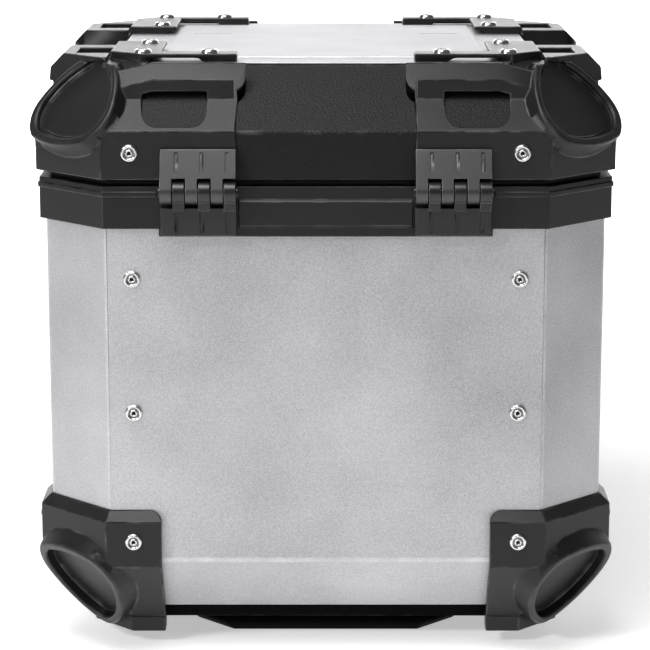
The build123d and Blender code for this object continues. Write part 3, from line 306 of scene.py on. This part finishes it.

# %% [markdown]
# ## Black plastics
#
# Everything black is glass-filled nylon, but from different moulds. The corner pieces have a fine even
# grain and catch light on their upper faces. The lid frame has a coarse pebble grain and looks darker.
# Hinges and latches are smoother. The hinges' upper leaves wear a lighter, shinier copy of that black, which
# paints in the light that their slanted faces catch. The adapter is dull.
# They differ only in degree, so one function takes the tone and the grain's size and depth of each.


# %% Moulded plastic
def moulded(name, tone, roughness, grain_scale, grain_depth, specular, dust=0.35):
    material, shader, place = new_finish(name, metallic=0.0, specular=specular)
    grain = place.cells(grain_scale) * 0.6 + place.noise(grain_scale * 1.7, 3.0, 0.6) * 0.7
    rubbed = place.attribute(EDGE_LAYER) * place.noise(85.0, 4.0).between(0.42, 0.66)
    settled = place.noise(14.0, 4.0, 0.6).between(0.45, 0.75) * dust
    body = settled.blend(grey(tone, 0.0006), grey(tone * 2.1, 0.0012))
    plug(
        shader,
        Base_Color=rubbed.blend(body, grey(tone * 5.0 + 0.01, 0.002)),
        Roughness=roughness + settled * 0.12 - rubbed * 0.08 + (grain - 0.6) * 0.12,
        Normal=grain.bump(grain_depth, 0.8),
    )
    return material


BLACKS = {
    "moulded_black": dict(tone=0.009, roughness=0.36, grain_scale=1400.0, grain_depth=0.12 * MM, specular=0.31),
    "textured_black": dict(tone=0.006, roughness=0.42, grain_scale=900.0, grain_depth=0.4 * MM, specular=0.21),
    "satin_black": dict(
        tone=0.009, roughness=0.32, grain_scale=1800.0, grain_depth=0.05 * MM, specular=0.5, dust=0.2
    ),
    # A lighter copy of the hinges' black for the upper leaves: painted light for their slanted faces.
    "lit_leaf_black": dict(
        tone=0.02, roughness=0.4, grain_scale=1800.0, grain_depth=0.05 * MM, specular=0.8, dust=0.2
    ),
    "dark_plate": dict(tone=0.0015, roughness=0.6, grain_scale=1000.0, grain_depth=0.12 * MM, specular=0.05),
    "collar_black": dict(tone=0.006, roughness=0.36, grain_scale=1500.0, grain_depth=0.06 * MM, specular=0.32),
    "seal_rubber": dict(
        tone=0.006, roughness=0.7, grain_scale=2200.0, grain_depth=0.04 * MM, specular=0.15, dust=0.6
    ),
}
for name, recipe in BLACKS.items():
    finishes[name] = moulded(name, **recipe)

# %% [markdown]
# ## Bright metal
#
# Pins and screws are turned steel: bright, with faint rings and a few dull spots. The lock's face is chromed
# and takes smaller scratches. The lines are noise that is squeezed along one axis, which is cheaper than
# drawing every scratch and never repeats.

# %% Turned steel and chrome
SPOT_SCALE = 420.0
LINE_SCALE = 300.0
LINE_SQUEEZE = (1.0, 1.0, 14.0)
SCRATCH_DEPTH = 0.03 * MM


def bright_metal(name, tone, roughness, scratch):
    material, shader, place = new_finish(name, metallic=1.0)
    squeezed = place.node("ShaderNodeVectorMath", {"operation": "MULTIPLY"}, {0: place, 1: LINE_SQUEEZE})
    lines = squeezed.noise(LINE_SCALE)
    dull = place.noise(SPOT_SCALE, 4.0, 0.6).between(0.5, 0.8)
    plug(
        shader,
        Base_Color=dull.blend(grey(tone, 0.004), grey(tone * 0.72)),
        Roughness=roughness + dull * 0.14 + lines * scratch,
        Normal=lines.bump(SCRATCH_DEPTH, 0.5),
    )
    return material


finishes["bright_steel"] = bright_metal("bright_steel", tone=0.78, roughness=0.2, scratch=0.10)
finishes["lock_chrome"] = bright_metal("lock_chrome", tone=0.6, roughness=0.24, scratch=0.05)

# %% [markdown]
# ## Rivet metal
#
# A rivet's head is bright on its rings. Its groove and the hole that the mandrel left get painted shade, so
# they are darkened in its colour. The head's own mesh says how far each point is from the middle, and this
# finish turns that number into two dark rings of painted shade. Painting them by hand would have to be done
# again for every rivet.

# %% Rivet heads get painted shade in their groove and hole
TURNED_LAYER = "turned"
GROOVE_STARTS = (0.36, 0.42)
GROOVE_ENDS = (0.56, 0.64)
HOLE_ENDS = (0.17, 0.24)


def rivet_metal(name, tone):
    material, shader, place = new_finish(name, metallic=1.0)
    turned = place.attribute(TURNED_LAYER)
    groove = turned.between(*GROOVE_STARTS) * (1 - turned.between(*GROOVE_ENDS))
    hole = 1 - turned.between(*HOLE_ENDS)
    # Painted shade: the groove and the hole are made dark, a little unevenly.
    painted_shade = (groove * 0.75 + hole) * (0.75 + place.noise(700.0, 3.0) * 0.5)
    spots = place.noise(SPOT_SCALE, 4.0, 0.6).between(0.5, 0.8)
    bright = spots.blend(grey(tone), grey(tone * 0.8))
    plug(
        shader,
        Base_Color=painted_shade.between(0.0, 1.0).blend(bright, grey(0.02)),
        Roughness=0.2 + spots * 0.12 + painted_shade * 0.3,
        Normal=place.noise(900.0).bump(SCRATCH_DEPTH, 0.5),
    )
    return material


finishes["rivet_steel"] = rivet_metal("rivet_steel", tone=0.72)

# %% [markdown]
# ## Studio paint
#
# The floor is matt white and glows a little. More light would make it white too, but it would also flood the
# case, so the glow does that part.

# %% Paint for the floor
FLOOR_TONE = 0.92
FLOOR_GLOW = 0.47


def studio_paint(tone):
    material, shader, place = new_finish("studio_paint", metallic=0.0, specular=0.1)
    clouds = place.noise(0.8)
    plug(shader, Base_Color=clouds.blend(grey(tone * 0.99), grey(tone)), Roughness=0.85 + clouds * 0.05)
    shader.inputs["Emission Color"].default_value = WHITE
    shader.inputs["Emission Strength"].default_value = FLOOR_GLOW
    return material


floor.data.materials.append(studio_paint(FLOOR_TONE))

# %% [markdown]
# ## Rounding the edges
#
# No real edge is a knife edge: sheet is deburred, and a mould's edges are rounded so the tool lasts.
# The packed meshes are loose triangles with sharp edges. A copy is merged, flat areas are joined into one
# face, and then the edges whose fold lies between two angles are bevelled. A Bevel modifier has one limit
# for all of them, but sheet needs a wide radius on its gentle folds and a narrow one on its cut edges.
# The new faces are marked in the mesh's edge layer, which the finishes read.

# %% Merged copy of a node's mesh
MERGE = 0.002 * MM
FLAT_ANGLE = radians(0.6)


def merged_copy(node):
    """The node's mesh as joined faces in a new bmesh, with an empty edge layer."""
    work = bmesh.new()
    work.from_mesh(nodes[node].data)
    bmesh.ops.remove_doubles(work, verts=work.verts, dist=MERGE)
    bmesh.ops.dissolve_limit(work, angle_limit=FLAT_ANGLE, verts=work.verts, edges=work.edges)
    work.loops.layers.float.new(EDGE_LAYER)
    return work


# %% Bevel chosen edges
def bevel_and_mark(work, edges, width, segments, mark):
    """Bevels these edges and writes the mark into the edge layer of the new faces."""
    layer = work.loops.layers.float[EDGE_LAYER]
    made = bmesh.ops.bevel(
        work, geom=edges, offset=width, segments=segments, profile=0.5, affect="EDGES", clamp_overlap=False
    )
    for face in made["faces"]:
        for loop in face.loops:
            loop[layer] = mark


def round_edges(work, width, low, high, segments, shortest=0.0):
    """Bevels the edges that fold by low to high degrees and aren't shorter than the shortest."""
    chosen = []
    for edge in work.edges:
        if len(edge.link_faces) != 2 or edge.calc_length() < shortest:
            continue
        if radians(low) < edge.calc_face_angle(0.0) <= radians(high):
            chosen.append(edge)
    if chosen:
        bevel_and_mark(work, chosen, width, segments, mark=1.0)
    return len(chosen)


# %% Turn a bmesh into a finished piece
def add_piece(name, work, node, finish):
    """A piece that stands for the node, rides on the node's body and wears the given finish."""
    mesh = bpy.data.meshes.new(name)
    work.to_mesh(mesh)
    work.free()
    mesh.shade_smooth()
    mesh.materials.append(finishes[finish])
    piece = bpy.data.objects.new(name, mesh)
    bpy.context.scene.collection.objects.link(piece)
    even = piece.modifiers.new("even_shading", "WEIGHTED_NORMAL")
    even.weight = 80
    even.keep_sharp = True
    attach(piece, body_of_node[node])
    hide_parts(node)
    return piece


def rounded_piece(node, name, passes, finish=None):
    """A node's shape with rounded edges, as a new piece in the node's place."""
    work = merged_copy(node)
    counts = [round_edges(work, **one_pass) for one_pass in passes]
    piece = add_piece(name, work, node, finish or slot_of_node[node])
    print(name, "rounded", counts, "faces", len(piece.data.polygons))


# %% [markdown]
# ## The tub and the lid's top sheet
#
# One sheet wraps under the tub, up its front and up its back, and two cheeks close the sides.
# Their folds have a bend radius of a few millimetres. Their cut edges are only deburred.

# %% Sheet parts
BEND = dict(width=2.4 * MM, low=20.0, high=62.0, segments=3, shortest=60 * MM)
DEBURR = dict(width=0.35 * MM, low=70.0, high=110.0, segments=1)
PRESSED = dict(width=0.6 * MM, low=30.0, high=110.0, segments=2)

for node in ("body_wrap", "side_cheek_left", "side_cheek_right"):
    rounded_piece(node, node + "_sheet", [BEND, DEBURR])
rounded_piece("lid_panel", "lid_panel_sheet", [PRESSED])

# %% [markdown]
# ## The lid's frame
#
# The frame is one thick moulding round the top sheet. One radius on all of its edges would be too narrow for
# the long gentle folds or too wide for the sharp ones, so each kind gets its own, as on the sheets.

# %% Lid frame
FRAME_FOLDS = dict(width=1.6 * MM, low=25.0, high=62.0, segments=3, shortest=30 * MM)
FRAME_EDGES = dict(width=0.5 * MM, low=70.0, high=110.0, segments=1, shortest=4 * MM)

rounded_piece("lid_frame", "lid_frame_shell", [FRAME_FOLDS, FRAME_EDGES])

# %% [markdown]
# ## Bumpers on the corners
#
# Each corner moulding carries a round bumper with a fat rim and a dished floor, so that the case can fall on
# it. The packed shape has a flat floor and a sharp rim. The floor could be sculpted, but a dish is only the
# floor's own outline drawn again, smaller and lower each time, so a list of shares and depths makes it.

# %% The bumper's round face
LOOKS_OUT = 0.3


def bumper_face(work, sx, sy):
    """The largest face that looks out over a corner: the floor of the bumper's round recess."""
    looking = [
        face for face in work.faces
        if face.normal.x * sx > LOOKS_OUT and face.normal.y * sy > LOOKS_OUT and abs(face.normal.z) > LOOKS_OUT
    ]
    return max(looking, key=lambda face: face.calc_area())


# %% Rim and dish
RING_ROUND = 1.9 * MM
RING_SEGMENTS = 4
RING_MARK = 0.5
RING_LEVEL = 0.05 * MM
RING_ANGLE = radians(20.0)
# Each step of a dish is the share of the outline that is left, and how far it goes out, in millimetres.
LID_DISH = ((0.995, -0.3), (0.93, -0.1), (0.91, -0.45), (0.6, -0.1))
LOWER_DISH = ((0.995, -0.8), (0.94, -0.1), (0.925, -0.4), (0.6, -0.25))


def shape_bumper(work, sx, sy, dish):
    """Gives the bumper a fat round rim and a dished floor with a step near its edge."""
    floor_face = bumper_face(work, sx, sy)
    outward = floor_face.normal.copy()
    middle = floor_face.calc_center_median()
    outline = [vert.co.copy() for vert in floor_face.verts]
    out = 0.0
    for share, depth in dish:
        bmesh.ops.inset_region(work, faces=[floor_face], thickness=0.0)
        out += depth * MM
        for vert, corner in zip(floor_face.verts, outline):
            vert.co = middle + (corner - middle) * share + outward * out
    reach = max(vert.co.dot(outward) for vert in work.verts)
    rim = []
    for edge in work.edges:
        on_top = all(abs(vert.co.dot(outward) - reach) < RING_LEVEL for vert in edge.verts)
        if on_top and len(edge.link_faces) == 2 and edge.calc_face_angle(0.0) > RING_ANGLE:
            rim.append(edge)
    bevel_and_mark(work, rim, RING_ROUND, RING_SEGMENTS, RING_MARK)
    return len(rim)


# %% Corner mouldings
CORNER_EDGES = dict(width=0.9 * MM, low=26.0, high=130.0, segments=2, shortest=2.0 * MM)
CORNERS = {"front_left": (-1, -1), "front_right": (1, -1), "rear_left": (-1, 1), "rear_right": (1, 1)}


def moulded_corner(node, name, sx, sy, dish):
    """A corner moulding: the bumper's rim and dish first, then every other sharp edge."""
    work = merged_copy(node)
    rim = shape_bumper(work, sx, sy, dish)
    rounded = round_edges(work, **CORNER_EDGES)
    piece = add_piece(name, work, node, slot_of_node[node])
    print(name, "rim edges", rim, "other edges", rounded, "faces", len(piece.data.polygons))


for corner, (sx, sy) in CORNERS.items():
    moulded_corner(f"lid_corner_{corner}", f"lid_bumper_{corner}", sx, sy, LID_DISH)
    moulded_corner(f"lower_corner_{corner}", f"lower_bumper_{corner}", sx, sy, LOWER_DISH)

# %% [markdown]
# ## Collar, floor plate and adapter
#
# A collar runs round the tub's rim, a plate stiffens its floor, and the adapter underneath holds the case to
# the carrier. Their walls are thin and even, so one radius does for each. It shows as a thin line of light.

# %% Collar, plate and adapter
COLLAR_EDGES = dict(width=0.45 * MM, low=30.0, high=120.0, segments=2)
PLATE_EDGES = dict(width=0.8 * MM, low=30.0, high=120.0, segments=2, shortest=2 * MM)
ADAPTER_EDGES = dict(width=1.2 * MM, low=25.0, high=120.0, segments=2, shortest=3 * MM)

rounded_piece("case_collar", "rim_collar", [COLLAR_EDGES], "collar_black")
rounded_piece("base_plate", "floor_plate", [PLATE_EDGES])
rounded_piece("mounting_adapter", "carrier_adapter", [ADAPTER_EDGES])

# %% [markdown]
# ## Hinges and latches
#
# Two hinges and two latches are the parts that hands and keys touch. They are small, so half a millimetre
# rounds them. Both sides are the same, and one loop makes all ten pieces.

# %% Hinge leaves, brackets, levers and keepers
# Each part has its edge radius, and a finish where that isn't the one of its slot.
SMALL_PARTS = {
    # The upper leaves get the lighter copy of the black, which is painted light.
    "hinge_upper_leaf": (0.5 * MM, "lit_leaf_black"),
    "hinge_lower_leaf": (0.5 * MM, None),
    "latch_bracket": (0.4 * MM, None),
    "latch_lever": (0.6 * MM, None),
    "latch_keeper": (0.5 * MM, None),
}
for side in ("left", "right"):
    for part, (radius, finish) in SMALL_PARTS.items():
        edges = dict(width=radius, low=30.0, high=120.0, segments=2, shortest=0.5 * MM)
        rounded_piece(f"{part}_{side}", f"{part}_moulding_{side}", [edges], finish)

# %% [markdown]
# ## Rivets
#
# Thirty-six blind rivets hold the sheets and mouldings together. Each has a turned head: a rounded flange,
# a groove, a small boss and the dark hole that the mandrel left. Inside, a smaller dome closes the rivet.
# They repeat, so Geometry Nodes make them: one head is a cone of rings whose heights follow a drawn curve,
# and it is placed on a point for each rivet, turned to face the way that the point says.

# %% Where the rivets are
# A head stands out by its height. The tail inside is a smaller head that stands out by the tail's lift.
HEAD_RADIUS = 6.0 * MM
HEAD_HEIGHT = 2.3 * MM
TAIL_SIZE = 0.6
TAIL_LIFT = 1.44 * MM


def islands(work):
    """The separate solids of a bmesh, each as a list of its corners."""
    waiting = set(work.verts)
    while waiting:
        island = [waiting.pop()]
        for vert in island:
            for edge in vert.link_edges:
                other = edge.other_vert(vert)
                if other in waiting:
                    waiting.remove(other)
                    island.append(other)
        yield island


def rivet_points(node):
    """Places, directions and sizes of a node's rivet heads and tails, measured on its solids."""
    work = bmesh.new()
    work.from_mesh(nodes[node].data)
    bmesh.ops.remove_doubles(work, verts=work.verts, dist=MERGE)
    points = []
    for island in islands(work):
        low = Vector([min(vert.co[i] for vert in island) for i in range(3)])
        high = Vector([max(vert.co[i] for vert in island) for i in range(3)])
        size, middle = high - low, (high + low) / 2
        axis = min(range(3), key=lambda i: abs(size[(i + 1) % 3] - size[(i + 2) % 3]))
        side = 1.0 if middle[axis] > 0 else -1.0
        facing = Vector([side if i == axis else 0.0 for i in range(3)])
        half = size[axis] / 2
        points.append((middle + facing * (half - HEAD_HEIGHT), facing, 1.0))
        points.append((middle - facing * (half - TAIL_LIFT), -facing, TAIL_SIZE))
    work.free()
    return points


# %% A tree with named inputs
# Each point of the curve is a share of the head's radius and a share of its height.
HEAD_CURVE = (
    (0.0, 0.1), (0.16, 0.1), (0.22, 0.78), (0.3, 0.86), (0.38, 0.8), (0.42, 0.58), (0.56, 0.62), (0.66, 0.9),
    (0.76, 0.94), (0.88, 0.74), (0.97, 0.34), (1.0, 0.0),
)
TREE_INPUTS = (
    ("Points", "NodeSocketGeometry", None),
    ("Radius", "NodeSocketFloat", HEAD_RADIUS),
    ("Height", "NodeSocketFloat", HEAD_HEIGHT),
    ("Sides", "NodeSocketInt", 32),
    ("Rings", "NodeSocketInt", 22),
    ("Metal", "NodeSocketMaterial", None),
)
heads_tree = bpy.data.node_groups.new("turned_heads", "GeometryNodeTree")
for label, kind, value in TREE_INPUTS:
    socket = heads_tree.interface.new_socket(label, in_out="INPUT", socket_type=kind)
    if value is not None:
        socket.default_value = value
heads_tree.interface.new_socket("Heads", in_out="OUTPUT", socket_type="NodeSocketGeometry")
given = heads_tree.nodes.new("NodeGroupInput").outputs
print("tree inputs", [label for label, kind, value in TREE_INPUTS])


# %% One helper for its nodes
def add(kind, inputs, **settings):
    """A node of the tree: its settings first, then the values or links of its sockets."""
    made = heads_tree.nodes.new(kind)
    for name, value in settings.items():
        setattr(made, name, value)
    for name, source in inputs.items():
        if isinstance(source, bpy.types.NodeSocket):
            heads_tree.links.new(source, made.inputs[name])
        else:
            made.inputs[name].default_value = source
    return made.outputs


# %% Shape one head
cone = add(
    "GeometryNodeMeshCone",
    {"Vertices": given["Sides"], "Side Segments": given["Rings"], "Radius Top": 0.0,
     "Radius Bottom": given["Radius"], "Depth": given["Height"]},
    fill_type="NONE",
)
spot = add("ShaderNodeSeparateXYZ", {0: add("GeometryNodeInputPosition", {})[0]})
flat = add("ShaderNodeCombineXYZ", {"X": spot["X"], "Y": spot["Y"]})
reach = add("ShaderNodeVectorMath", {0: flat[0]}, operation="LENGTH")
share = add("ShaderNodeMath", {0: reach["Value"], 1: given["Radius"]}, operation="DIVIDE")
drawn = add("ShaderNodeFloatCurve", {"Value": share[0]})
curve = drawn[0].node.mapping.curves[0]
curve.points[0].location, curve.points[1].location = HEAD_CURVE[0], HEAD_CURVE[-1]
for bend in HEAD_CURVE[1:-1]:
    curve.points.new(*bend)
drawn[0].node.mapping.update()
rise = add("ShaderNodeMath", {0: drawn[0], 1: given["Height"]}, operation="MULTIPLY")
shaped = add("ShaderNodeCombineXYZ", {"X": spot["X"], "Y": spot["Y"], "Z": rise[0]})
head = add("GeometryNodeSetPosition", {"Geometry": cone["Mesh"], "Position": shaped[0]})
marked = add(
    "GeometryNodeStoreNamedAttribute", {"Geometry": head[0], "Name": TURNED_LAYER, "Value": share[0]},
    data_type="FLOAT",
)
smooth = add("GeometryNodeSetShadeSmooth", {0: marked[0]})
print("curve points", len(curve.points))

# %% Put a head on every point
facing = add("GeometryNodeInputNamedAttribute", {"Name": "facing"}, data_type="FLOAT_VECTOR")
size = add("GeometryNodeInputNamedAttribute", {"Name": "size"}, data_type="FLOAT")
turned = add("FunctionNodeAlignRotationToVector", {"Vector": facing["Attribute"]}, axis="Z")
placed = add(
    "GeometryNodeInstanceOnPoints",
    {"Points": given["Points"], "Instance": smooth[0], "Rotation": turned[0], "Scale": size["Attribute"]},
)
real = add("GeometryNodeRealizeInstances", {"Geometry": placed[0]})
metal = add("GeometryNodeSetMaterial", {"Geometry": real[0], "Material": given["Metal"]})
result = heads_tree.nodes.new("NodeGroupOutput")
heads_tree.links.new(metal[0], result.inputs["Heads"])
print("nodes in the tree", len(heads_tree.nodes))


# %% Rivet pieces, one for each row of rivets
def rivet_piece(node, name):
    """All the rivets of a node as one plain mesh in the node's place."""
    points = rivet_points(node)
    mesh = bpy.data.meshes.new(name + "_points")
    mesh.from_pydata([place for place, facing, size in points], [], [])
    mesh.attributes.new("facing", "FLOAT_VECTOR", "POINT")
    mesh.attributes.new("size", "FLOAT", "POINT")
    for n, (place, facing, size) in enumerate(points):
        mesh.attributes["facing"].data[n].vector = facing
        mesh.attributes["size"].data[n].value = size
    seed = bpy.data.objects.new(name + "_points", mesh)
    bpy.context.scene.collection.objects.link(seed)
    maker = seed.modifiers.new("heads", "NODES")
    maker.node_group = heads_tree
    sockets = {item.name: item.identifier for item in heads_tree.interface.items_tree}
    maker[sockets["Metal"]] = finishes["rivet_steel"]
    maker[sockets["Radius"]] = HEAD_RADIUS
    maker[sockets["Height"]] = HEAD_HEIGHT
    made = bpy.data.meshes.new_from_object(seed.evaluated_get(bpy.context.evaluated_depsgraph_get()))
    made.name = name
    bpy.data.objects.remove(seed)
    piece = bpy.data.objects.new(name, made)
    bpy.context.scene.collection.objects.link(piece)
    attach(piece, body_of_node[node])
    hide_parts(node)
    print(name, "heads and tails", len(points), "faces", len(made.polygons))


RIVET_ROWS = {
    "case_rivets": "rivets_tub",
    "lower_corner_rivets": "rivets_lower_corners",
    "lid_rivets_top": "rivets_lid_top",
    "lid_rivets_band": "rivets_lid_band",
}
for node, name in RIVET_ROWS.items():
    rivet_piece(node, name)

# %% [markdown]
# ## Parts that keep their packed shape
#
# Pins, screws, eyelets, lock plugs and the seal are round or hidden, and their packed shapes are good enough.
# They only get the finish of their slot.

# %% Finishes for the parts that stay
for node, held in nodes.items():
    if held.hide_render:
        continue
    held.data.materials.clear()
    held.data.materials.append(finishes[slot_of_node[node]])
    print("kept", node, "as", slot_of_node[node])

# %% [markdown]
